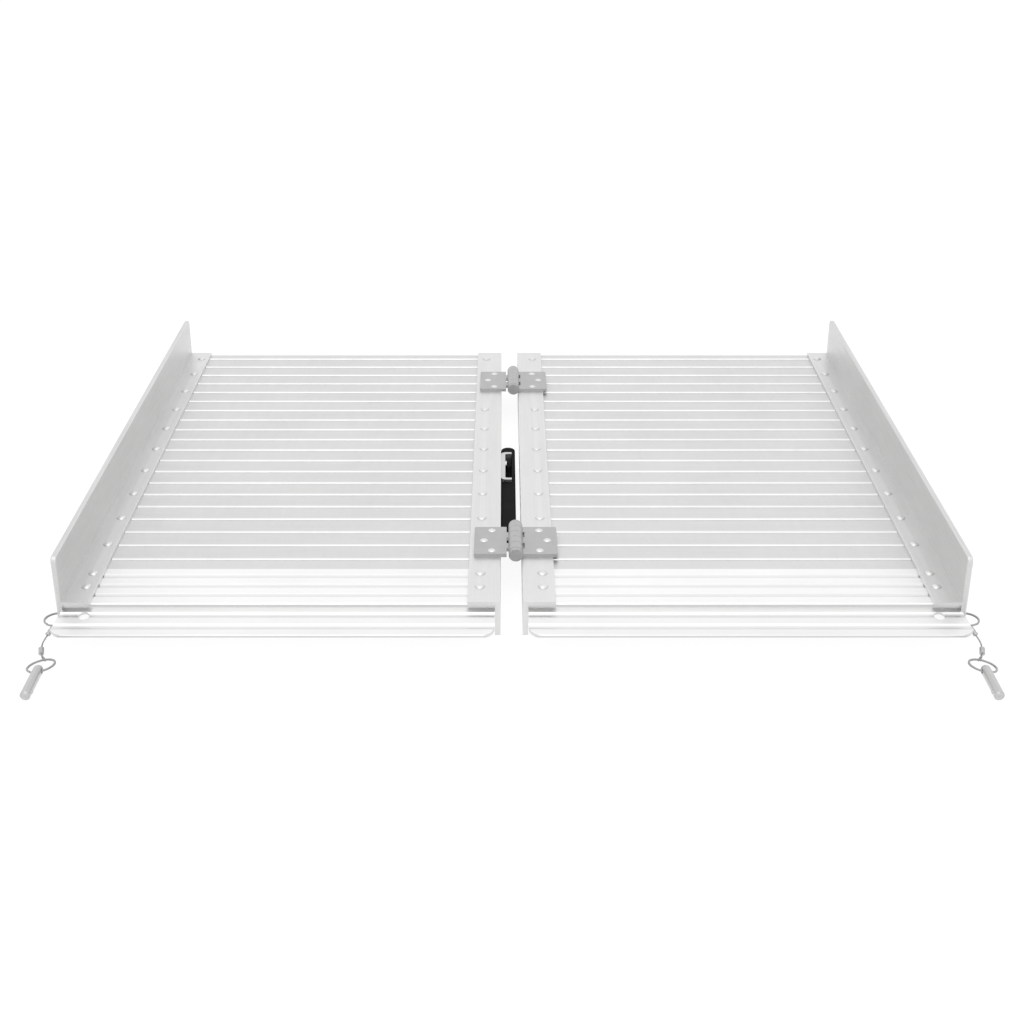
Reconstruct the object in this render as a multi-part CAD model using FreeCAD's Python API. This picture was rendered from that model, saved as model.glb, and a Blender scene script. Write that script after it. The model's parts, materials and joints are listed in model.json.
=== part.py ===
import FreeCAD, Part
import math
import os

# Folding loading ramp: two aluminium panels joined by two butt hinges.
# X runs across the ramp, Y from the lip (-Y) to the far end (+Y), Z up.
# The origin is the centre of the ramp's footprint, on the ground. All sizes are millimetres.

V = FreeCAD.Vector
os.makedirs("parts", exist_ok=True)

# overall
half_width = 360.0
rail_length = 582.0
lip_reach = 28.0
near_y = lip_reach - (rail_length + lip_reach) / 2
far_y = near_y + rail_length

# side rails
wall_t = 4.5
curb_top = 69.0
deck_z = 27.0
flange_t = 3.0
flange_z = deck_z + flange_t
outer_flange_edge = 333.8
gap_half = 8.8
inner_flange_edge = 35.0
curb_corner_r = 5.0
curb_top_r = 1.2
flange_edge_r = 0.4
wall_in = gap_half + wall_t
wall_out = half_width - wall_t

# cross planks
rib_pitch = 25.73
plank_pitch = 2 * rib_pitch
plank_count = 10
first_seam = near_y + 78.2
plank_t = 3.0
plank_leg_t = 2.4
plank_leg_z = 8.0
rib_base = 3.0
rib_crest = 2.2
rib_height = 0.8
rib_offset = 1.5

# end plank and lip
end_plank_y = near_y + 3.0
end_thick_y = near_y + 63.0
end_plank_t = 3.5
end_chamfer = 0.8
flute_r = 6.8
flute_depth = 0.8
lip_flute_depth = 0.5
end_flutes = (17.3, 33.1, 49.6)
lip_t = 2.5
lip_front_z = 16.0
lip_tongue_y = near_y + 40.0
lip_in = wall_in + 0.1
lip_root_x = 356.0
lip_out = 361.5
lip_outer_corner_r = 12.0
lip_inner_corner_r = 10.0
lip_flutes = (6.7, 19.6)
lip_hole_r = 4.4
lip_hole_x = 337.0
lip_hole_y = near_y - 6.5

# rivets
rivet_head_r = 4.2
rivet_head_h = 1.8
rivet_r = 2.4
rivet_tail_r = 3.2
rivet_tail_h = 3.0
fit = 0.05
outer_rivet_x = 341.4
inner_rivet_x = 25.4
rivet_first = near_y + 102.1
rivet_last = far_y - 20.3
rivet_end_ys = (near_y + 49.0, near_y + 25.8)
hinged_planks = (0, 7, 8)

# hinges
axis_x = 3.8
axis_z = 33.8
barrel_r = 6.0
hinge_pin_r = 3.0
leaf_t = 3.0
leaf_reach = 35.0
leaf_len = 51.5
notch = 7.6
knuckles = 5
knuckle_gap = 0.3
pin_cap_r = 5.9
pin_cap_near = 4.3
pin_cap_far = 1.0
leaf_head_r = 3.4
leaf_head_h = 1.3
leaf_shank_r = 2.2
leaf_tail_r = 2.7
leaf_tail_h = 2.2
leaf_rivet_near = 20.1
leaf_rivet_far = 26.8
leaf_rivet_half = 19.0
hinge_ys = (near_y + 103.7, near_y + 487.3)

# carrying handle on the left inner rail
grip_y0 = near_y + 127.0
grip_y1 = near_y + 324.0
grip_in = -gap_half
grip_out = 4.6
grip_z0 = 12.0
grip_z1 = 25.0
grip_end_r = 6.6
bracket_y0 = near_y + 241.5
bracket_y1 = near_y + 305.5
bracket_t = 4.0
bracket_bend_r = 5.0
bracket_inner_r = 2.0
bracket_reach = 1.2
bracket_z0 = 14.0
bracket_z1 = 27.5
bracket_screw_y = bracket_y1 - 12.0
clamp_y0 = grip_y0 + 3.0
clamp_y1 = clamp_y0 + 13.0
clamp_t = 1.5
clamp_depth = 4.0
handle_screw_r = 2.2
handle_screw_z = 19.5

# lanyards and locking pins
ring_wire_r = 0.8
anchor_ring_r = 10.2
anchor_hole_r = 2.5
anchor = V(357.75, near_y + 13.0, 12.5)
anchor_side = 3.5
cable_r = 0.6
cable_turns = (
    V(366.6, near_y - 17.5, 7.0),
    V(368.3, near_y - 23.0, 3.3),
    V(364.8, near_y - 37.0, 2.6),
)
ferrule_r = 2.2
ferrule_spans = ((1.1, 9.1), (3.3, 11.1))
pin_ring_r = 10.7
pin_r = 3.9
pin_eye = V(361.0, near_y - 62.9, 3.9)
pin_eye_r = 1.9
pin_rear_y = near_y - 56.0
pin_tip_y = near_y - 98.0
pin_ring_back_z = 1.95
pin_ring_roll = math.radians(9.5)
ball_r = 1.6
ball_y = pin_tip_y + 6.5
ball_proud = 0.8


def box(x0, x1, y0, y1, z0, z1):
    return Part.makeBox(x1 - x0, y1 - y0, z1 - z0, V(x0, y0, z0))


def rod(r, start, end):
    return Part.makeCylinder(r, (end - start).Length, start, end - start)


def prism_x(points, x0, x1):
    """A YZ outline extruded along X."""
    wire = Part.makePolygon([V(x0, y, z) for y, z in points + points[:1]])
    return Part.Face(wire).extrude(V(x1 - x0, 0, 0))


def mirrored(shape):
    return shape.mirror(V(0, 0, 0), V(1, 0, 0))


def save(name, shape):
    shape.exportStep("parts/" + name + ".step")


def save_pair(name, shape):
    save("right_" + name, shape)
    save("left_" + name, mirrored(shape))


def soften(shape, radius, wanted):
    """Rounds the edges whose middle point passes the test."""
    edges = []
    for edge in shape.Edges:
        mid = edge.valueAt((edge.FirstParameter + edge.LastParameter) / 2)
        if wanted(edge, mid):
            edges.append(edge)
    return shape.makeFillet(radius, edges)


def along_y(edge):
    d = edge.Vertexes[-1].Point - edge.Vertexes[0].Point
    return abs(d.x) < 1e-6 and abs(d.z) < 1e-6 and abs(d.y) > 1.0


# fastener positions on the right panel; the left panel mirrors the rivets
plank_rivet_ys = [min(rivet_first + i * plank_pitch, rivet_last) for i in range(plank_count)]
outer_rivets = [(outer_rivet_x, y) for y in plank_rivet_ys]
inner_rivets = [(inner_rivet_x, y) for i, y in enumerate(plank_rivet_ys) if i not in hinged_planks]
outer_end_rivets = [(outer_rivet_x, y) for y in rivet_end_ys]
inner_end_rivets = [(inner_rivet_x, y) for y in rivet_end_ys]
right_rivets = outer_rivets + inner_rivets + outer_end_rivets + inner_end_rivets


def leaf_rivet_points(side):
    points = []
    for y in hinge_ys:
        points.append((axis_x + side * leaf_rivet_near, y - leaf_rivet_half))
        points.append((axis_x + side * leaf_rivet_near, y + leaf_rivet_half))
        points.append((axis_x + side * leaf_rivet_far, y))
    return points


def drilled(shape, side):
    """Cuts the holes for the rivets of one panel and its hinge leaves, where side is 1 for right."""
    box_ = shape.BoundBox
    tools = []
    for x, y in right_rivets:
        if box_.YMin < y < box_.YMax:
            tools.append(rod(rivet_r + fit, V(side * x, y, 18), V(side * x, y, 31)))
    for x, y in leaf_rivet_points(side):
        if box_.YMin - leaf_tail_r < y < box_.YMax + leaf_tail_r:
            under = deck_z - plank_t
            tools.append(rod(leaf_shank_r + fit, V(x, y, under), V(x, y, 34)))
            tools.append(rod(leaf_tail_r + fit, V(x, y, under - leaf_tail_h - fit), V(x, y, under)))
    return shape.cut(tools) if tools else shape


def save_panel_pair(name, shape):
    save("right_" + name, drilled(shape, 1))
    save("left_" + name, drilled(mirrored(shape), -1))


# outer rails: curb wall with a flange over the plank ends
wall = box(wall_out, half_width, near_y, far_y, 0, curb_top)
wall = soften(
    wall,
    curb_corner_r,
    lambda e, m: m.z > curb_top - 0.1 and (abs(m.y - near_y) < 0.1 or abs(m.y - far_y) < 0.1),
)
flange = box(outer_flange_edge, wall_out + 0.5, near_y, far_y, deck_z, flange_z)
outer_rail = wall.fuse(flange).removeSplitter()
outer_rail = soften(
    outer_rail,
    flange_edge_r,
    lambda e, m: along_y(e) and abs(m.z - flange_z) < 0.1 and m.x < outer_flange_edge + 0.1,
)
outer_rail = soften(outer_rail, curb_top_r, lambda e, m: along_y(e) and m.z > curb_top - 0.1)
outer_rail = outer_rail.cut(rod(anchor_hole_r, anchor - V(6, 0, 0), anchor + V(6, 0, 0)))
save_panel_pair("outer_rail", outer_rail)

# inner rails: wall below a flange, no curb
wall = box(gap_half, wall_in, near_y, far_y, 0, flange_z)
flange = box(wall_in - 0.5, inner_flange_edge, near_y, far_y, deck_z, flange_z)
inner_rail = wall.fuse(flange).removeSplitter()
inner_rail = soften(
    inner_rail,
    flange_edge_r,
    lambda e, m: along_y(e) and abs(m.z - flange_z) < 0.1,
)
handle_screw_ys = ((clamp_y0 + clamp_y1) / 2, bracket_screw_y)
save("right_inner_rail", drilled(inner_rail, 1))
left_rail = drilled(mirrored(inner_rail), -1)
for y in handle_screw_ys:
    hole = rod(handle_screw_r + fit, V(-wall_in - 1, y, handle_screw_z), V(0, y, handle_screw_z))
    left_rail = left_rail.cut(hole)
save("left_inner_rail", left_rail)


def rib(y):
    outline = [
        (y - rib_base / 2, deck_z - 0.2),
        (y + rib_base / 2, deck_z - 0.2),
        (y + rib_base / 2, deck_z + 0.3),
        (y + rib_crest / 2, deck_z + rib_height),
        (y - rib_crest / 2, deck_z + rib_height),
        (y - rib_base / 2, deck_z + 0.3),
    ]
    return prism_x(outline, inner_flange_edge + 0.3, outer_flange_edge - 0.3)


# cross planks: channels with a seam bead and a centre rib
for index in range(plank_count):
    y0 = first_seam + index * plank_pitch
    y1 = min(y0 + plank_pitch, far_y)
    plank = box(wall_in, wall_out, y0, y1, deck_z - plank_t, deck_z)
    near_leg = box(wall_in, wall_out, y0, y0 + plank_leg_t, plank_leg_z, deck_z - 1)
    far_leg = box(wall_in, wall_out, y1 - plank_leg_t, y1, plank_leg_z, deck_z - 1)
    ribs = [rib(y0 + rib_offset), rib(y0 + rib_offset + rib_pitch)]
    plank = plank.fuse([near_leg, far_leg] + ribs).removeSplitter()
    save_panel_pair("plank_%02d" % (index + 1), plank)

# end planks: thick fluted front, thin back
outline = [
    (end_plank_y, deck_z - end_plank_t),
    (end_thick_y, deck_z - end_plank_t),
    (end_thick_y, plank_leg_z),
    (end_thick_y + plank_leg_t, plank_leg_z),
    (end_thick_y + plank_leg_t, deck_z - plank_t),
    (first_seam - plank_leg_t, deck_z - plank_t),
    (first_seam - plank_leg_t, plank_leg_z),
    (first_seam, plank_leg_z),
    (first_seam, deck_z),
    (end_plank_y + end_chamfer, deck_z),
    (end_plank_y, deck_z - end_chamfer),
]
end_plank = prism_x(outline, wall_in, wall_out)
for d in end_flutes:
    z = deck_z + flute_r - flute_depth
    flute = rod(flute_r, V(0, near_y + d, z), V(half_width, near_y + d, z))
    end_plank = end_plank.cut(flute)
save_panel_pair("end_plank", end_plank)

# lips: tongue under the end plank, slope to the front edge
lip_z = deck_z - end_plank_t
lip_y = near_y - lip_reach
fall = (lip_z - lip_front_z) / (end_plank_y - lip_y)
outline = [
    (lip_tongue_y, lip_z),
    (end_plank_y, lip_z),
    (lip_y + 0.6, lip_front_z + 0.6 * fall),
    (lip_y, lip_front_z - 0.6),
    (lip_y, lip_front_z - lip_t + 0.6),
    (lip_y + 0.6, lip_front_z - lip_t),
    (end_plank_y, lip_z - lip_t),
    (lip_tongue_y, lip_z - lip_t),
]
lip = prism_x(outline, lip_in, lip_out)
lip = lip.cut(box(wall_out, lip_out + 1, near_y - 0.2, lip_tongue_y + 1, 0, 40))
side_cut = [V(lip_root_x, near_y, 0), V(lip_out, lip_y, 0), V(lip_out + 1, near_y, 0)]
lip = lip.cut(Part.Face(Part.makePolygon(side_cut + side_cut[:1])).extrude(V(0, 0, 40)))
ri = lip_inner_corner_r
ro = lip_outer_corner_r
lip = lip.cut(
    box(lip_in - 1, lip_in + ri, lip_y - 1, lip_y + ri, 0, 40).cut(
        Part.makeCylinder(ri, 40, V(lip_in + ri, lip_y + ri, 0))
    )
)
lip = lip.cut(
    box(lip_out - ro, lip_out + 1, lip_y - 1, lip_y + ro, 0, 40).cut(
        Part.makeCylinder(ro, 40, V(lip_out - ro, lip_y + ro, 0))
    )
)
for d in lip_flutes:
    y = near_y - d
    z = lip_front_z + (y - lip_y) * fall + flute_r - lip_flute_depth
    lip = lip.cut(rod(flute_r, V(0, y, z), V(half_width, y, z)))
top = V(lip_hole_x, lip_hole_y, lip_front_z + (lip_hole_y - lip_y) * fall)
square = V(0, -fall, 1) * 12
lip = lip.cut(rod(lip_hole_r, top - square, top + square))
save_panel_pair("lip", lip)


def dome(x, y, z, radius, height):
    """A flat-bottomed rivet head standing on z."""
    sphere_r = (radius**2 + height**2) / (2 * height)
    sphere = Part.makeSphere(sphere_r, V(x, y, z + height - sphere_r))
    return sphere.common(rod(radius + 1, V(x, y, z), V(x, y, z + 9)))


def rivet(x, y, grip_z):
    """A dome rivet from the flange top down to a tail under grip_z."""
    head = dome(x, y, flange_z, rivet_head_r, rivet_head_h)
    shank = rod(rivet_r, V(x, y, grip_z), V(x, y, flange_z))
    tail = rod(rivet_tail_r, V(x, y, grip_z - rivet_tail_h), V(x, y, grip_z))
    return head.fuse([shank, tail]).removeSplitter()


def rivet_group(plank_points, end_points):
    solids = [rivet(x, y, deck_z - plank_t) for x, y in plank_points]
    back, front = end_points
    solids.append(rivet(back[0], back[1], deck_z - end_plank_t))
    solids.append(rivet(front[0], front[1], deck_z - end_plank_t - lip_t))
    return Part.makeCompound(solids)


save_pair("outer_rivets", rivet_group(outer_rivets, outer_end_rivets))
save_pair("inner_rivets", rivet_group(inner_rivets, inner_end_rivets))


# hinges: the left leaf has the second and fourth knuckles, the right leaf the others
knuckle_len = leaf_len / knuckles


def leaf(side, hinge_y, own):
    edge = axis_x + side * leaf_reach
    inner = axis_x + side * notch
    start = hinge_y - leaf_len / 2
    x0, x1 = sorted((edge, inner))
    plate = box(x0, x1, start, start + leaf_len, flange_z, flange_z + leaf_t)
    corner = [e for e in plate.Edges if abs(e.CenterOfMass.x - edge) < 0.1]
    upright = [e for e in corner if abs(e.BoundBox.ZLength - leaf_t) < 0.1]
    plate = plate.makeFillet(2.0, upright)
    pieces = []
    for index in own:
        y0 = start + index * knuckle_len + (knuckle_gap / 2 if index > 0 else 0)
        y1 = start + (index + 1) * knuckle_len
        y1 -= knuckle_gap / 2 if index < knuckles - 1 else 0
        pieces.append(rod(barrel_r, V(axis_x, y0, axis_z), V(axis_x, y1, axis_z)))
        a, b = sorted((inner + side * 0.5, axis_x + side * 2.0))
        pieces.append(box(a, b, y0, y1, flange_z, flange_z + leaf_t))
    shape = plate.fuse(pieces)
    bore = hinge_pin_r + (fit if side > 0 else 0.08)
    reach = leaf_len / 2 + 2
    shape = shape.cut(rod(bore, V(axis_x, hinge_y - reach, axis_z), V(axis_x, hinge_y + reach, axis_z)))
    return drilled(shape.removeSplitter(), side)


def hinge_pin(hinge_y):
    half = leaf_len / 2
    shape = rod(hinge_pin_r, V(axis_x, hinge_y - half, axis_z), V(axis_x, hinge_y + half, axis_z))
    for side, cap_h in ((-1, pin_cap_near), (1, pin_cap_far)):
        inner = V(axis_x, hinge_y + side * half, axis_z)
        outer = V(axis_x, hinge_y + side * (half + cap_h), axis_z)
        cap = rod(pin_cap_r, inner, outer)
        cap = soften(cap, 0.6, lambda e, m: abs(m.y - outer.y) < 0.01)
        shape = shape.fuse(cap)
    return shape.removeSplitter()


for name, y in zip(("near", "far"), hinge_ys):
    save(name + "_hinge_left_leaf", leaf(-1, y, (1, 3)))
    save(name + "_hinge_right_leaf", leaf(1, y, (0, 2, 4)))
    save(name + "_hinge_pin", hinge_pin(y))


def leaf_rivet(x, y):
    """A low dome rivet from the leaf top down to a tail under the plank."""
    top = flange_z + leaf_t
    under = deck_z - plank_t
    head = dome(x, y, top, leaf_head_r, leaf_head_h)
    shank = rod(leaf_shank_r, V(x, y, under), V(x, y, top))
    tail = rod(leaf_tail_r, V(x, y, under - leaf_tail_h), V(x, y, under))
    return head.fuse([shank, tail]).removeSplitter()


for name, side in (("left", -1), ("right", 1)):
    points = leaf_rivet_points(side)
    save(name + "_hinge_rivets", Part.makeCompound([leaf_rivet(x, y) for x, y in points]))

# carrying handle: a rubber grip along the wall, held by a steel bracket and a clamp
grip = box(grip_in, grip_out, grip_y0, grip_y1, grip_z0, grip_z1)
upright = [e for e in grip.Edges if e.BoundBox.ZLength > 1]
grip = grip.makeFillet(grip_end_r, upright)
grip = grip.makeFillet(1.8, [e for e in grip.Edges if e.BoundBox.ZLength < 0.1])
pocket_top = grip_z1 + 1
grip = grip.cut(
    box(grip_in - 1, bracket_reach + 0.2, bracket_y0 - 0.4, bracket_y1 + 0.4, bracket_z0, pocket_top)
)
clamp_x = grip_out - clamp_depth
grip = grip.cut(box(clamp_x, grip_out + 1, clamp_y0 - 0.2, clamp_y1 + 0.2, grip_z0 - 1, pocket_top))
clamp_y = handle_screw_ys[0]
grip = grip.cut(rod(handle_screw_r + fit, V(-9, clamp_y, handle_screw_z), V(9, clamp_y, handle_screw_z)))
save("handle_grip", grip)

bracket = box(grip_in, bracket_reach, bracket_y0, bracket_y1, bracket_z0, bracket_z1)
hollow = box(
    grip_in + bracket_t,
    bracket_reach + 1,
    bracket_y0 + bracket_t,
    bracket_y1 - bracket_t,
    bracket_z0 - 1,
    bracket_z1 + 1,
)
bracket = bracket.cut(hollow)
upright = [e for e in bracket.Edges if abs(e.BoundBox.ZLength - (bracket_z1 - bracket_z0)) < 0.1]
outer_bends = [e for e in upright if abs(e.CenterOfMass.x - grip_in) < 0.1]
bracket = bracket.makeFillet(bracket_bend_r, outer_bends)
bracket = soften(
    bracket,
    bracket_inner_r,
    lambda e, m: abs(m.x - grip_in - bracket_t) < 0.1 and abs(m.z - (bracket_z0 + bracket_z1) / 2) < 0.1,
)
hole = rod(
    handle_screw_r + fit,
    V(-gap_half - 1, bracket_screw_y, handle_screw_z),
    V(0, bracket_screw_y, handle_screw_z),
)
bracket = bracket.cut(hole)
save("handle_bracket", bracket)

clamp = box(clamp_x, clamp_x + clamp_t, clamp_y0, clamp_y1, grip_z0, grip_z1)
clamp = clamp.cut(
    rod(handle_screw_r + fit, V(-9, clamp_y, handle_screw_z), V(9, clamp_y, handle_screw_z))
)
save("handle_clamp", clamp)


def handle_screw(y, face):
    head = rod(4.0, V(face, y, handle_screw_z), V(face + 1.8, y, handle_screw_z))
    head = soften(head, 1.0, lambda e, m: abs(m.x - face - 1.8) < 0.01)
    shank = rod(handle_screw_r, V(-wall_in + 0.2, y, handle_screw_z), V(face, y, handle_screw_z))
    flat = box(face + 1.0, face + 3, y - 2.2, y + 2.2, handle_screw_z - 0.45, handle_screw_z + 0.45)
    cross = box(face + 1.0, face + 3, y - 0.45, y + 0.45, handle_screw_z - 2.2, handle_screw_z + 2.2)
    return head.fuse(shank).cut([flat, cross]).removeSplitter()


screws = [handle_screw(clamp_y, clamp_x + clamp_t), handle_screw(bracket_screw_y, grip_in + bracket_t)]
save("handle_screws", Part.makeCompound(screws))

# lanyards: anchor ring, cable with two ferrules, pin ring, locking pin and detent ball
def ring(centre, radius, forward, roll=0.0):
    """A wire ring that holds the forward direction and leans down outboard by roll."""
    outboard = V(math.cos(roll), 0, -math.sin(roll))
    return Part.makeTorus(radius, ring_wire_r, centre, outboard.cross(forward))


def tube_path(points):
    """Straight runs joined by tangent arcs, each as large as its two runs allow."""
    edges = []
    start = points[0]
    for before, corner, after in zip(points, points[1:], points[2:]):
        a = before - corner
        b = after - corner
        half = (math.pi - a.getAngle(b)) / 2
        cut = 0.45 * min(a.Length, b.Length)
        radius = cut / math.tan(half)
        print("cable bend radius %.1f mm" % radius)
        a.normalize()
        b.normalize()
        t0 = corner + a * cut
        t1 = corner + b * cut
        inward = a + b
        inward.normalize()
        middle = corner + inward * (radius / math.cos(half) - radius)
        edges.append(Part.LineSegment(start, t0).toShape())
        edges.append(Part.Arc(t0, middle, t1).toShape())
        start = t1
    edges.append(Part.LineSegment(start, points[-1]).toShape())
    return Part.Wire(edges)


forward = V(0, -1, 0)
across = math.sqrt(anchor_ring_r**2 - anchor_side**2)
anchor_centre = anchor + V(anchor_side, 0, 0) + forward * across
save_pair("anchor_ring", ring(anchor_centre, anchor_ring_r, forward))

rise = math.asin((pin_eye.z - pin_ring_back_z) / (2 * pin_ring_r))
pin_forward = V(0, -math.cos(rise), math.sin(rise))
pin_ring_centre = pin_eye - pin_forward * pin_ring_r
save_pair("pin_ring", ring(pin_ring_centre, pin_ring_r, pin_forward, pin_ring_roll))

cable_start = anchor_centre + forward * (anchor_ring_r + ring_wire_r)
cable_end = pin_ring_centre - pin_forward * (pin_ring_r + ring_wire_r)
route = [cable_start] + list(cable_turns) + [cable_end]
path = tube_path(route)
section = Part.Wire(Part.makeCircle(cable_r, cable_start, route[1] - cable_start))
cable = path.makePipeShell([section], True, True)
print("cable length %.2f mm" % path.Length)
print("cable volume %.2f mm3, section times length %.2f mm3" % (
    cable.Volume,
    math.pi * cable_r**2 * path.Length,
))
save_pair("cable", cable)

ferrules = []
for start, end, span in ((route[0], route[1], ferrule_spans[0]), (route[2], route[3], ferrule_spans[1])):
    direction = end - start
    direction.normalize()
    outer = rod(ferrule_r, start + direction * span[0], start + direction * span[1])
    ferrules.append(outer.cut(rod(cable_r, start - direction, end + direction)))
save_pair("ferrules", Part.makeCompound(ferrules))


def lock_pin(side):
    """A plain pin with a round rear end, a cross hole for its ring and a seat for the ball."""
    eye = V(side * pin_eye.x, pin_eye.y, pin_eye.z)
    rear = V(eye.x, pin_rear_y - pin_r, eye.z)
    pin = rod(pin_r, rear, V(eye.x, pin_tip_y, eye.z))
    pin = pin.makeChamfer(1.2, [e for e in pin.Edges if abs(e.CenterOfMass.y - pin_tip_y) < 0.01])
    pin = pin.fuse(Part.makeSphere(pin_r, rear)).removeSplitter()
    pin = pin.cut(rod(pin_eye_r, eye - V(9, 0, 0), eye + V(9, 0, 0)))
    inward = V(-side, 0, 0)
    ball_centre = V(eye.x, ball_y, eye.z) + inward * (pin_r + ball_proud - ball_r)
    pin = pin.cut(rod(ball_r + fit, ball_centre - inward * 3, ball_centre + inward * 9))
    return pin, Part.makeSphere(ball_r, ball_centre)


for name, side in (("left", -1), ("right", 1)):
    pin, ball = lock_pin(side)
    save(name + "_detent_pin", pin)
    save(name + "_detent_ball", ball)
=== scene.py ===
import json
import math

import bmesh
import bpy
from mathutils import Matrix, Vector


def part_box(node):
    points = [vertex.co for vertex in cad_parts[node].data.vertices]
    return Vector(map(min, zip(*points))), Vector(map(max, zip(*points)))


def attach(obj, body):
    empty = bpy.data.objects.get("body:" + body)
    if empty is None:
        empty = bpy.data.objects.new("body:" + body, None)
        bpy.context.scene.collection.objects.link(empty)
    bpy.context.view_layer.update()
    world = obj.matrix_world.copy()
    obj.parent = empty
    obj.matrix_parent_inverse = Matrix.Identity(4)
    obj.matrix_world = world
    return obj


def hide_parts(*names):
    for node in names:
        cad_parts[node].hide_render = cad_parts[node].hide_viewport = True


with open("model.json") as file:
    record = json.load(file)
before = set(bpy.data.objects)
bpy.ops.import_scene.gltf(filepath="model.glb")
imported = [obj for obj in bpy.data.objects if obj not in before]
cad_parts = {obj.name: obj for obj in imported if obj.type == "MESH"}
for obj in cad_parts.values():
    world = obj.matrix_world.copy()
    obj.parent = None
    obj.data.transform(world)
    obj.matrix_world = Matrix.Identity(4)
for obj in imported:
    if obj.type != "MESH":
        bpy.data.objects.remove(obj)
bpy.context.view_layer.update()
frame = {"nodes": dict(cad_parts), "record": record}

# Places that the pieces below are set out from, in metres.
NEAR_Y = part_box("right_outer_rail")[0][1]
DECK_Z = 0.027
# Half the width over which the painted tones of a height step and of a band fade, in metres.
STEP_FADE = 0.00015
BAND_FADE = 0.0003


# ---------------------------------------------------------------- shader helpers
def new_material(name):
    mat = bpy.data.materials.new(name)
    mat.use_nodes = True
    nodes = mat.node_tree.nodes
    return mat, nodes, mat.node_tree.links, nodes["Principled BSDF"]


def grey(value):
    return (value, value, value * 0.995)


def coords(nodes, links, stretch=(1, 1, 1)):
    """Object coordinates, stretched along an axis for grain that runs one way."""
    place = nodes.new("ShaderNodeTexCoord")
    mapping = nodes.new("ShaderNodeMapping")
    mapping.inputs["Scale"].default_value = stretch
    links.new(place.outputs["Object"], mapping.inputs["Vector"])
    return mapping.outputs["Vector"]


def noise(nodes, links, vector, scale, detail, rough):
    tex = nodes.new("ShaderNodeTexNoise")
    tex.inputs["Scale"].default_value = scale
    tex.inputs["Detail"].default_value = detail
    tex.inputs["Roughness"].default_value = rough
    links.new(vector, tex.inputs["Vector"])
    return tex.outputs["Fac"]


def tones(nodes, links, fac, low, high):
    """Maps fac from (position, value) to (position, value) as a grey."""
    node = nodes.new("ShaderNodeValToRGB")
    for stop, (position, value) in zip(node.color_ramp.elements, (low, high)):
        stop.position = position
        stop.color = (value, value, value, 1)
    links.new(fac, node.inputs["Fac"])
    return node.outputs["Color"]


def mix(nodes, links, fac, a, b, blend="MIX"):
    node = nodes.new("ShaderNodeMix")
    node.data_type = "RGBA"
    node.blend_type = blend
    for value, socket in ((fac, 0), (a, 6), (b, 7)):
        if isinstance(value, (int, float)):
            node.inputs[socket].default_value = value
        elif isinstance(value, tuple):
            node.inputs[socket].default_value = (*value, 1)
        else:
            links.new(value, node.inputs[socket])
    return node.outputs[2]


def bump(nodes, links, height, strength, distance, normal=None):
    node = nodes.new("ShaderNodeBump")
    node.inputs["Strength"].default_value = strength
    node.inputs["Distance"].default_value = distance
    links.new(height, node.inputs["Height"])
    if normal is not None:
        links.new(normal, node.inputs["Normal"])
    return node.outputs["Normal"]


# ---------------------------------------------------------------- camera
CAMERA_TILT = math.radians(25.39)
CAMERA_X = -0.0062
CAMERA_BACK = 1.098
CAMERA_ABOVE_DECK = 0.6028


def make_camera():
    cam = bpy.data.cameras.new("camera")
    cam.sensor_width = 36.0
    cam.lens = 55.66
    cam.shift_x = 0.008
    obj = bpy.data.objects.new("camera", cam)
    bpy.context.collection.objects.link(obj)
    obj.location = (CAMERA_X, NEAR_Y - CAMERA_BACK, DECK_Z + CAMERA_ABOVE_DECK)
    obj.rotation_euler = (math.pi / 2 - CAMERA_TILT, 0, 0)
    bpy.context.scene.camera = obj


make_camera()


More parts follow.
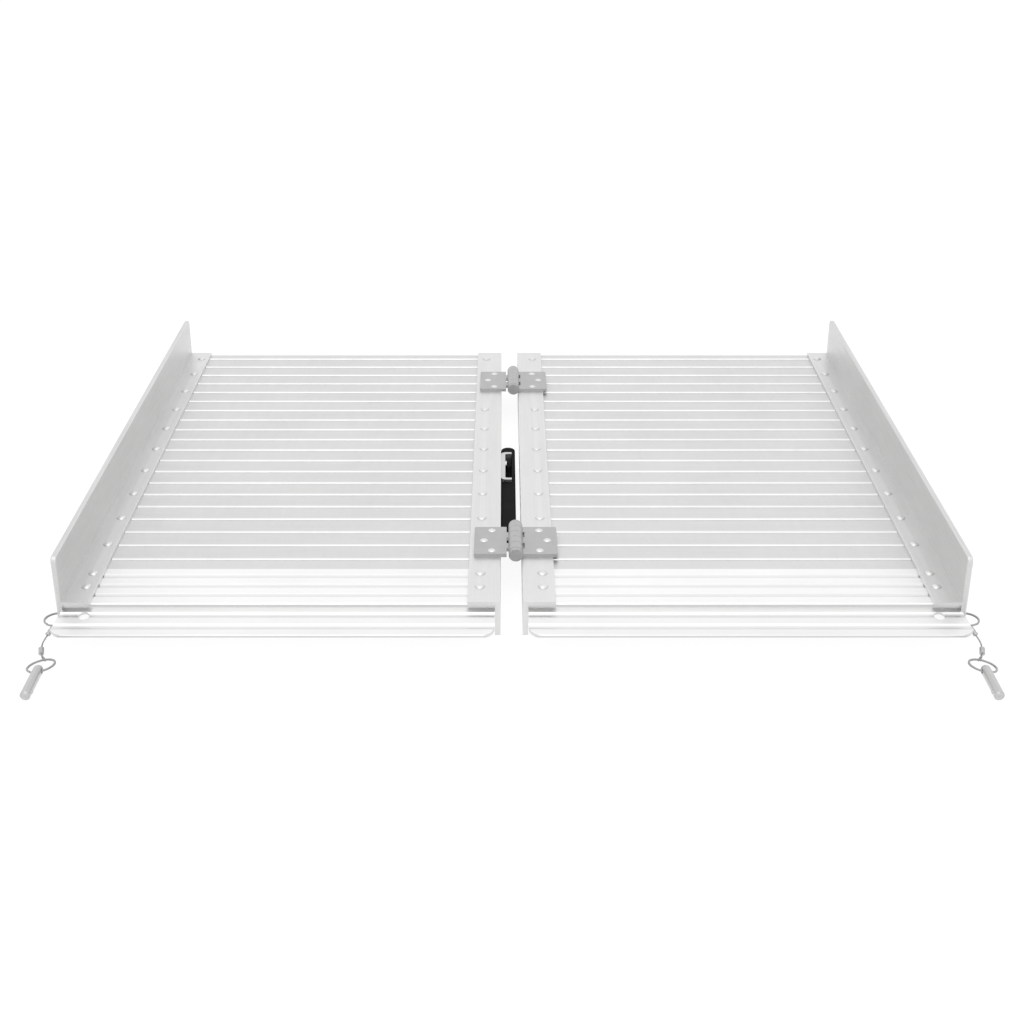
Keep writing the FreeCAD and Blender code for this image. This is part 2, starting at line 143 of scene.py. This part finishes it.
# ---------------------------------------------------------------- materials
def metal(name, light, dark, rough, grain, wear=0.0, stains=0.0, crest_highlight=None, bands=(), edges=None):
    """Drawn metal: grain along one axis, soft clouds of tone, scuffs, worn edges and small stains.

    The crest argument, (height, colour), is a painted highlight: the tone of what stands above that
    height. bands are (spans, colour), painted shade: the tone between places along Y. edges is (low,
    high, colour), painted shade: the tone where the surface's upward share falls from high to low.
    """
    mat, nodes, links, shader = new_material(name)
    along = coords(nodes, links, grain)
    plain = coords(nodes, links)
    streaks = noise(nodes, links, along, 700.0, 6.0, 0.62)
    clouds = noise(nodes, links, plain, 11.0, 5.0, 0.6)
    fine = noise(nodes, links, plain, 2600.0, 2.0, 0.5)
    tone = tones(nodes, links, streaks, (0.3, 0.0), (0.7, 1.0))
    colour = mix(nodes, links, tone, dark, light)
    # Painted highlight: a near-white tone on whatever stands above the crest height.
    if crest_highlight:
        colour = mix(nodes, links, height_step(nodes, links, crest_highlight[0]), colour, crest_highlight[1])
    # Painted shade: darker tones over the given spans along Y.
    for spans, band_colour in bands:
        colour = mix(nodes, links, y_bands(nodes, links, spans), colour, band_colour)
    # Painted shade: a darker tone where the surface turns away from straight up.
    if edges:
        low, high, edge_shade_colour = edges
        colour = mix(nodes, links, faces_up(nodes, links, low, high), edge_shade_colour, colour)
    cloud = tones(nodes, links, clouds, (0.3, 0.94), (0.7, 1.0))
    colour = mix(nodes, links, 1.0, colour, cloud, "MULTIPLY")
    if stains:
        spots = noise(nodes, links, plain, 85.0, 4.0, 0.75)
        stain = tones(nodes, links, spots, (0.64, 0.0), (0.8, stains))
        colour = mix(nodes, links, stain, colour, tuple(0.6 * c for c in dark))
    if wear:
        geometry = nodes.new("ShaderNodeNewGeometry")
        edge = tones(nodes, links, geometry.outputs["Pointiness"], (0.53, 0.0), (0.62, wear))
        colour = mix(nodes, links, edge, colour, tuple(min(0.97, 1.12 * c) for c in light))
    links.new(colour, shader.inputs["Base Color"])
    shader.inputs["Metallic"].default_value = 1.0
    scuffs = noise(nodes, links, coords(nodes, links, (1, 0.25, 1)), 140.0, 5.0, 0.7)
    rough_map = tones(nodes, links, scuffs, (0.3, rough * 0.85), (0.75, min(1.0, rough * 1.2)))
    links.new(rough_map, shader.inputs["Roughness"])
    normal = bump(nodes, links, streaks, 0.15, 0.0003)
    normal = bump(nodes, links, fine, 0.075, 0.0001, normal)
    links.new(normal, shader.inputs["Normal"])
    return mat


def faces_up(nodes, links, low, high):
    """1 where the piece's own surface faces up, 0 where it turns aside; it masks the painted shade on
    turned faces.
    """
    place = nodes.new("ShaderNodeTexCoord")
    split = nodes.new("ShaderNodeSeparateXYZ")
    links.new(place.outputs["Normal"], split.inputs[0])
    return tones(nodes, links, split.outputs["Z"], (low, 0.0), (high, 1.0))


def height_step(nodes, links, height):
    """1 above the height, worked out on the piece's own Z; it masks the painted highlight on rib crests.
    """
    split = nodes.new("ShaderNodeSeparateXYZ")
    links.new(coords(nodes, links), split.inputs[0])
    step = nodes.new("ShaderNodeMapRange")
    step.inputs["From Min"].default_value = height - STEP_FADE
    step.inputs["From Max"].default_value = height + STEP_FADE
    step.inputs["To Min"].default_value = 0.0
    step.inputs["To Max"].default_value = 1.0
    links.new(split.outputs["Z"], step.inputs["Value"])
    return step.outputs["Result"]


def y_bands(nodes, links, spans):
    """1 inside any of the (start, end) spans of the piece's own Y, soft at their edges; it masks the
    painted shade bands.
    """
    split = nodes.new("ShaderNodeSeparateXYZ")
    links.new(coords(nodes, links), split.inputs[0])
    total = (0.0, 0.0, 0.0)
    for start, end in spans:
        inside = (1.0, 1.0, 1.0)
        for place, rising in ((start, True), (end, False)):
            step = nodes.new("ShaderNodeMapRange")
            step.inputs["From Min"].default_value = place - BAND_FADE
            step.inputs["From Max"].default_value = place + BAND_FADE
            step.inputs["To Min"].default_value = 0.0 if rising else 1.0
            step.inputs["To Max"].default_value = 1.0 if rising else 0.0
            links.new(split.outputs["Y"], step.inputs["Value"])
            inside = mix(nodes, links, 1.0, inside, step.outputs["Result"], "MULTIPLY")
        total = mix(nodes, links, 1.0, total, inside, "ADD")
    return total


def rubber(name, light, dark):
    """Moulded black rubber: a fine pebble, with dust that dulls it in soft patches."""
    mat, nodes, links, shader = new_material(name)
    plain = coords(nodes, links)
    pebble = nodes.new("ShaderNodeTexVoronoi")
    pebble.inputs["Scale"].default_value = 1100.0
    links.new(plain, pebble.inputs["Vector"])
    dust = noise(nodes, links, plain, 60.0, 5.0, 0.6)
    tone = tones(nodes, links, dust, (0.35, 0.0), (0.8, 1.0))
    links.new(mix(nodes, links, tone, dark, light), shader.inputs["Base Color"])
    links.new(tones(nodes, links, dust, (0.2, 0.5), (0.8, 0.7)), shader.inputs["Roughness"])
    shader.inputs["Specular IOR Level"].default_value = 0.05
    links.new(bump(nodes, links, pebble.outputs["Distance"], 0.35, 0.0003), shader.inputs["Normal"])
    return mat


def cable_wire(name, light, dark):
    """Twisted steel strands: slanted bands with dark lines between them, painted shade in the grooves.
    """
    mat, nodes, links, shader = new_material(name)
    bands = nodes.new("ShaderNodeTexWave")
    bands.bands_direction = "DIAGONAL"
    bands.inputs["Scale"].default_value = 700.0
    bands.inputs["Distortion"].default_value = 0.6
    links.new(coords(nodes, links), bands.inputs["Vector"])
    # Painted shade: the dark grey lies in the grooves between the strands.
    tone = tones(nodes, links, bands.outputs["Fac"], (0.15, 0.0), (0.6, 1.0))
    links.new(mix(nodes, links, tone, dark, light), shader.inputs["Base Color"])
    shader.inputs["Metallic"].default_value = 1.0
    shader.inputs["Roughness"].default_value = 0.38
    links.new(bump(nodes, links, bands.outputs["Fac"], 0.6, 0.0002), shader.inputs["Normal"])
    return mat


# Spans of the bright end plank and lip along Y that are toned apart from the rest: painted shade on the
# lip's sloped face, in the grooves of the flutes and on a strip of deck behind them.
FLUTE_HALF = 0.0030
FLUTES = [(NEAR_Y + d - FLUTE_HALF, NEAR_Y + d + FLUTE_HALF) for d in (0.0173, 0.0331, 0.0496)]
LIP_FLUTE_HALF = 0.0024
LIP_FLUTES = [(NEAR_Y - d - LIP_FLUTE_HALF, NEAR_Y - d + LIP_FLUTE_HALF) for d in (0.0067, 0.0196)]
LIP_FACE = [(NEAR_Y - 0.03, NEAR_Y + 0.0025)]
DECK_SHADE_BAND = [(NEAR_Y + 0.0625, NEAR_Y + 0.1)]
# Height above which the plank's rib crests get a painted highlight.
RIB_CREST_Z = 0.0271
# Stretches of the coordinates that draw the grain out along X, along Y or not at all.
ALONG_X = (0.02, 1, 1)
ALONG_Y = (1, 0.02, 1)
EVEN = (1, 1, 1)
MATERIALS = {
    "rail_aluminium": metal(
        "rail_aluminium", grey(0.72), grey(0.65), 0.42, ALONG_Y, wear=0.5, stains=0.25
    ),
    "plank_aluminium": metal(
        "plank_aluminium",
        grey(0.66),
        grey(0.60),
        0.48,
        ALONG_X,
        wear=0.4,
        stains=0.3,
        # Painted highlight: the rib crests are toned near white.
        crest_highlight=(RIB_CREST_Z, grey(0.95)),
    ),
    "bright_aluminium": metal(
        "bright_aluminium",
        grey(0.91),
        grey(0.88),
        0.4,
        ALONG_X,
        wear=0.2,
        stains=0.1,
        # Painted shade: darker tones on the lip's face, in the flutes and on the deck strip behind them.
        bands=(
            (LIP_FACE, grey(0.82)),
            (FLUTES, grey(0.78)),
            (LIP_FLUTES, grey(0.75)),
            (DECK_SHADE_BAND, grey(0.63)),
        ),
        # Painted shade: faces that turn aside from up, such as the lip's front edge and hole walls, are
        # toned darker.
        edges=(0.2, 0.4, grey(0.66)),
    ),
    # Painted shade: the rivet domes get a dark rim where they turn down towards the surface.
    "rivet_aluminium": metal(
        "rivet_aluminium", grey(0.80), grey(0.72), 0.34, EVEN, stains=0.2, edges=(0.72, 0.84, grey(0.34))
    ),
    "hinge_steel": metal(
        "hinge_steel", grey(0.46), grey(0.40), 0.4, ALONG_X, wear=0.5, stains=0.25
    ),
    "screw_steel": metal("screw_steel", grey(0.7), grey(0.6), 0.26, EVEN, wear=0.4, stains=0.2),
    "grip_rubber": rubber("grip_rubber", (0.008, 0.008, 0.0085), (0.003, 0.003, 0.0033)),
    "bracket_steel": metal(
        "bracket_steel", grey(0.60), grey(0.50), 0.36, ALONG_Y, wear=0.5, stains=0.25
    ),
    "ring_steel": metal("ring_steel", grey(0.46), grey(0.36), 0.3, EVEN, wear=0.4, stains=0.3),
    "cable_steel": cable_wire("cable_steel", grey(0.52), grey(0.16)),
    "ferrule_aluminium": metal(
        "ferrule_aluminium", grey(0.56), grey(0.44), 0.4, EVEN, wear=0.5, stains=0.4
    ),
    "pin_steel": metal("pin_steel", grey(0.58), grey(0.50), 0.34, ALONG_Y, wear=0.5, stains=0.25),
    "ball_steel": metal("ball_steel", grey(0.62), grey(0.54), 0.16, EVEN, stains=0.1),
}
for part in frame["record"]["subparts"]:
    mesh = frame["nodes"][part["node"]].data
    mesh.materials.clear()
    mesh.materials.append(MATERIALS[part["material_slot"]])


# ---------------------------------------------------------------- lanyards
# Places are the right lanyard's, in metres. The left lanyard mirrors them.
ANCHOR_R = 0.0102
ANCHOR = (0.35775, NEAR_Y + 0.013, 0.0125)
ANCHOR_SIDE = 0.0035
PIN_RING_R = 0.0107
PIN_EYE = (0.3610, NEAR_Y - 0.0629, 0.0039)
PIN_RING_BACK_Z = 0.00195
PIN_RING_ROLL = math.radians(9.5)
WIRE_R = 0.0008
CABLE_R = 0.0006
CABLE_TURNS = (
    (0.3666, NEAR_Y - 0.0175, 0.0070),
    (0.3683, NEAR_Y - 0.0230, 0.0033),
    (0.3648, NEAR_Y - 0.0370, 0.0026),
)
FERRULE_R = 0.0022
# Each sleeve: the route points that it lies between, and its start and end past the first of them.
FERRULE_SPANS = ((0, 1, 0.0011, 0.0091), (2, 3, 0.0033, 0.0111))
FERRULE_STEPS = 40
FERRULE_DENTS = (0.3, 0.7)
DENT_SPREAD = 0.075
DENT_DEPTH = 0.2
FERRULE_END = 0.86
FERRULE_FLATNESS = 0.84
EYE_WIRE_R = 0.0005
EYE_PAST_RING = 0.0012
EYE_HALF_HEIGHT = 0.0012
# How far the eyes' mouths are along the cable's first and last legs.
EYE_MOUTHS = (0.0014, 0.0006)
EYE_STEPS = 48
# A split ring's flat coil, its half height between coils, and where it crosses over, in turns.
COIL_HALF_WIDE = 0.00074
COIL_HALF_HIGH = 0.00037
COIL_SQUARENESS = 0.6
COIL_RISE = 0.0004
COIL_CROSSING = (0.82, 1.18)
COIL_START_ANGLE = 0.9
COIL_STEPS = 168


def mesh_piece(name, verts, faces, slot, body):
    mesh = bpy.data.meshes.new(name)
    mesh.from_pydata([tuple(v) for v in verts], [], faces)
    mesh.validate()
    bm = bmesh.new()
    bm.from_mesh(mesh)
    bmesh.ops.recalc_face_normals(bm, faces=bm.faces)
    bm.to_mesh(mesh)
    bm.free()
    mesh.materials.append(MATERIALS[slot])
    for face in mesh.polygons:
        face.use_smooth = True
    obj = bpy.data.objects.new(name, mesh)
    bpy.context.collection.objects.link(obj)
    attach(obj, body)
    return obj


def oval(count, half_wide, half_high, power=1.0):
    """Points round a closed oval, squarer as power falls below 1."""
    points = []
    for k in range(count):
        angle = 2 * math.pi * k / count
        u = math.copysign(abs(math.cos(angle)) ** power, math.cos(angle)) * half_wide
        v = math.copysign(abs(math.sin(angle)) ** power, math.sin(angle)) * half_high
        points.append((u, v))
    return points


def sweep(centres, frames, section):
    """Joins copies of a closed section along a line, with flat ends."""
    verts = []
    faces = []
    count = len(section)
    for centre, (a, b) in zip(centres, frames):
        verts.extend(centre + a * u + b * v for u, v in section)
    for i in range(len(centres) - 1):
        for j in range(count):
            k = (j + 1) % count
            faces.append((i * count + j, i * count + k, (i + 1) * count + k, (i + 1) * count + j))
    faces.append(tuple(range(count))[::-1])
    faces.append(tuple(range((len(centres) - 1) * count, len(centres) * count)))
    return verts, faces


def split_ring(name, node, body, centre, radius, forward, outboard):
    """A key ring of two flat coils that cross over once, in the place of the CAD ring."""
    normal = outboard.cross(forward).normalized()
    across = forward.cross(normal)
    crossing_start, crossing_end = COIL_CROSSING
    section = oval(12, COIL_HALF_WIDE, COIL_HALF_HIGH, COIL_SQUARENESS)
    centres = []
    frames = []
    for i in range(COIL_STEPS + 1):
        turn = 2.0 * i / COIL_STEPS
        angle = 2 * math.pi * turn + COIL_START_ANGLE
        rise = (turn - crossing_start) / (crossing_end - crossing_start)
        rise = max(0.0, min(1.0, rise))
        rise = rise * rise * (3 - 2 * rise)
        out = across * math.cos(angle) + forward * math.sin(angle)
        centres.append(centre + out * radius + normal * (rise - 0.5) * 2 * COIL_RISE)
        frames.append((out, normal))
    verts, faces = sweep(centres, frames, section)
    ring = mesh_piece(name, verts, faces, "ring_steel", body)
    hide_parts(node)
    return ring


def ferrule_mesh(start, end):
    """An oval crimp sleeve with two pressed bands, narrowed at its ends."""
    axis = (end - start).normalized()
    side = axis.cross(Vector((0, 0, 1))).normalized()
    up = side.cross(axis)
    centres = []
    frames = []
    length = (end - start).length
    for i in range(FERRULE_STEPS + 1):
        s = i / FERRULE_STEPS
        dent = sum(math.exp(-(((s - at) / DENT_SPREAD) ** 2)) for at in FERRULE_DENTS)
        taper = 1.0 if 0 < i < FERRULE_STEPS else FERRULE_END
        size = FERRULE_R * taper * (1 - DENT_DEPTH * dent)
        centres.append(start + axis * length * s)
        frames.append((side * size, up * size * FERRULE_FLATNESS))
    return sweep(centres, frames, oval(24, 1.0, 1.0))


def eye_loops(name, spans, body):
    """Upright cable loops, each from the mouth of a crimp sleeve to just past a ring's wire."""
    section = oval(10, EYE_WIRE_R, EYE_WIRE_R)
    count = len(section)
    verts = []
    faces = []
    for mouth, ring in spans:
        reach = ring - mouth
        half = reach * (1 + EYE_PAST_RING / reach.length) / 2
        rise = half.cross(Vector((0, 0, 1))).cross(half).normalized() * EYE_HALF_HEIGHT
        side = half.cross(rise).normalized()
        base = len(verts)
        for k in range(EYE_STEPS):
            turn = 2 * math.pi * k / EYE_STEPS
            centre = mouth + half + half * math.cos(turn) + rise * math.sin(turn)
            out = half.normalized() * math.cos(turn) + rise.normalized() * math.sin(turn)
            verts.extend(centre + out * u + side * v for u, v in section)
        for k in range(EYE_STEPS):
            here = base + k * count
            ahead = base + (k + 1) % EYE_STEPS * count
            for j in range(count):
                beside = (j + 1) % count
                faces.append((here + j, here + beside, ahead + beside, ahead + j))
    return mesh_piece(name, verts, faces, "cable_steel", body)


def wire_curve(name, points, radius, body):
    curve = bpy.data.curves.new(name, "CURVE")
    curve.dimensions = "3D"
    curve.bevel_depth = radius
    curve.bevel_resolution = 5
    curve.resolution_u = 16
    curve.use_fill_caps = True
    spline = curve.splines.new("NURBS")
    spline.points.add(len(points) - 1)
    for point, place in zip(spline.points, points):
        point.co = (*place, 1)
    spline.order_u = 3
    spline.use_endpoint_u = True
    curve.materials.append(MATERIALS["cable_steel"])
    obj = bpy.data.objects.new(name, curve)
    bpy.context.collection.objects.link(obj)
    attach(obj, body)
    return obj


def lanyard(side):
    sign = 1 if side == "right" else -1
    body = side + "_panel"

    def at(point):
        return Vector((sign * point[0], point[1], point[2]))

    # The anchor ring lies level in its hole, with more of it outside the wall than inside.
    forward = Vector((0, -1, 0))
    outboard = Vector((sign, 0, 0))
    shift = math.sqrt(ANCHOR_R**2 - ANCHOR_SIDE**2)
    anchor = at(ANCHOR) + outboard * ANCHOR_SIDE + forward * shift
    # The pull ring leans on the ground outboard and goes through the pin's cross hole in front.
    rise = math.asin((PIN_EYE[2] - PIN_RING_BACK_Z) / (2 * PIN_RING_R))
    pin_forward = Vector((0, -math.cos(rise), math.sin(rise)))
    pin_outboard = Vector((sign * math.cos(PIN_RING_ROLL), 0, -math.sin(PIN_RING_ROLL)))
    pin_ring = at(PIN_EYE) - pin_forward * PIN_RING_R

    start = anchor + forward * (ANCHOR_R + WIRE_R)
    finish = pin_ring - pin_forward * (PIN_RING_R + WIRE_R)
    route = [start] + [at(p) for p in CABLE_TURNS] + [finish]
    cable = wire_curve(side + "_lanyard_cable", route, CABLE_R, body)
    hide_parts(side + "_cable")

    verts = []
    faces = []
    for first, last, low, high in FERRULE_SPANS:
        way = (route[last] - route[first]).normalized()
        more, joins = ferrule_mesh(route[first] + way * low, route[first] + way * high)
        faces.extend(tuple(len(verts) + k for k in face) for face in joins)
        verts.extend(more)
    ferrules = mesh_piece(side + "_crimp_sleeves", verts, faces, "ferrule_aluminium", body)
    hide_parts(side + "_ferrules")

    mouths = [
        route[0].lerp(route[1], EYE_MOUTHS[0] / (route[1] - route[0]).length),
        route[3].lerp(route[4], EYE_MOUTHS[1] / (route[4] - route[3]).length),
    ]
    ring_wires = [
        anchor + forward * ANCHOR_R,
        pin_ring - pin_forward * PIN_RING_R,
    ]
    loops = eye_loops(side + "_cable_eyes", list(zip(mouths, ring_wires)), body)

    hung = side + "_anchor_split_ring"
    pull = side + "_pull_split_ring"
    rings = [
        split_ring(hung, side + "_anchor_ring", body, anchor, ANCHOR_R, forward, outboard),
        split_ring(pull, side + "_pin_ring", body, pin_ring, PIN_RING_R, pin_forward, pin_outboard),
    ]


for side in ("left", "right"):
    lanyard(side)


# ---------------------------------------------------------------- floor and light
def make_floor():
    bpy.ops.mesh.primitive_plane_add(size=60, location=(0, 0, -0.0002))
    floor = bpy.context.active_object
    floor.name = "floor"
    mat, _, _, shader = new_material("floor")
    shader.inputs["Base Color"].default_value = (0.12, 0.12, 0.12, 1)
    shader.inputs["Roughness"].default_value = 0.9
    shader.inputs["Specular IOR Level"].default_value = 0.0
    shader.inputs["Emission Color"].default_value = (1, 1, 1, 1)
    shader.inputs["Emission Strength"].default_value = 0.92
    floor.data.materials.append(mat)


def make_world():
    world = bpy.data.worlds.new("studio")
    bpy.context.scene.world = world
    world.use_nodes = True
    back = world.node_tree.nodes["Background"]
    back.inputs["Color"].default_value = (1, 1, 1, 1)
    back.inputs["Strength"].default_value = 1.07


def soft_light(name, place, target, size, energy):
    light = bpy.data.lights.new(name, "AREA")
    light.shape = "DISK"
    light.size = size
    light.energy = energy
    obj = bpy.data.objects.new(name, light)
    bpy.context.collection.objects.link(obj)
    obj.location = place
    direction = Vector(target) - Vector(place)
    obj.rotation_euler = direction.to_track_quat("-Z", "Y").to_euler()


make_floor()
make_world()
soft_light("overhead", place=(-0.2, -0.8, 2.1), target=(0, 0, 0), size=2.2, energy=9)
bpy.context.scene.view_settings.view_transform = "Standard"
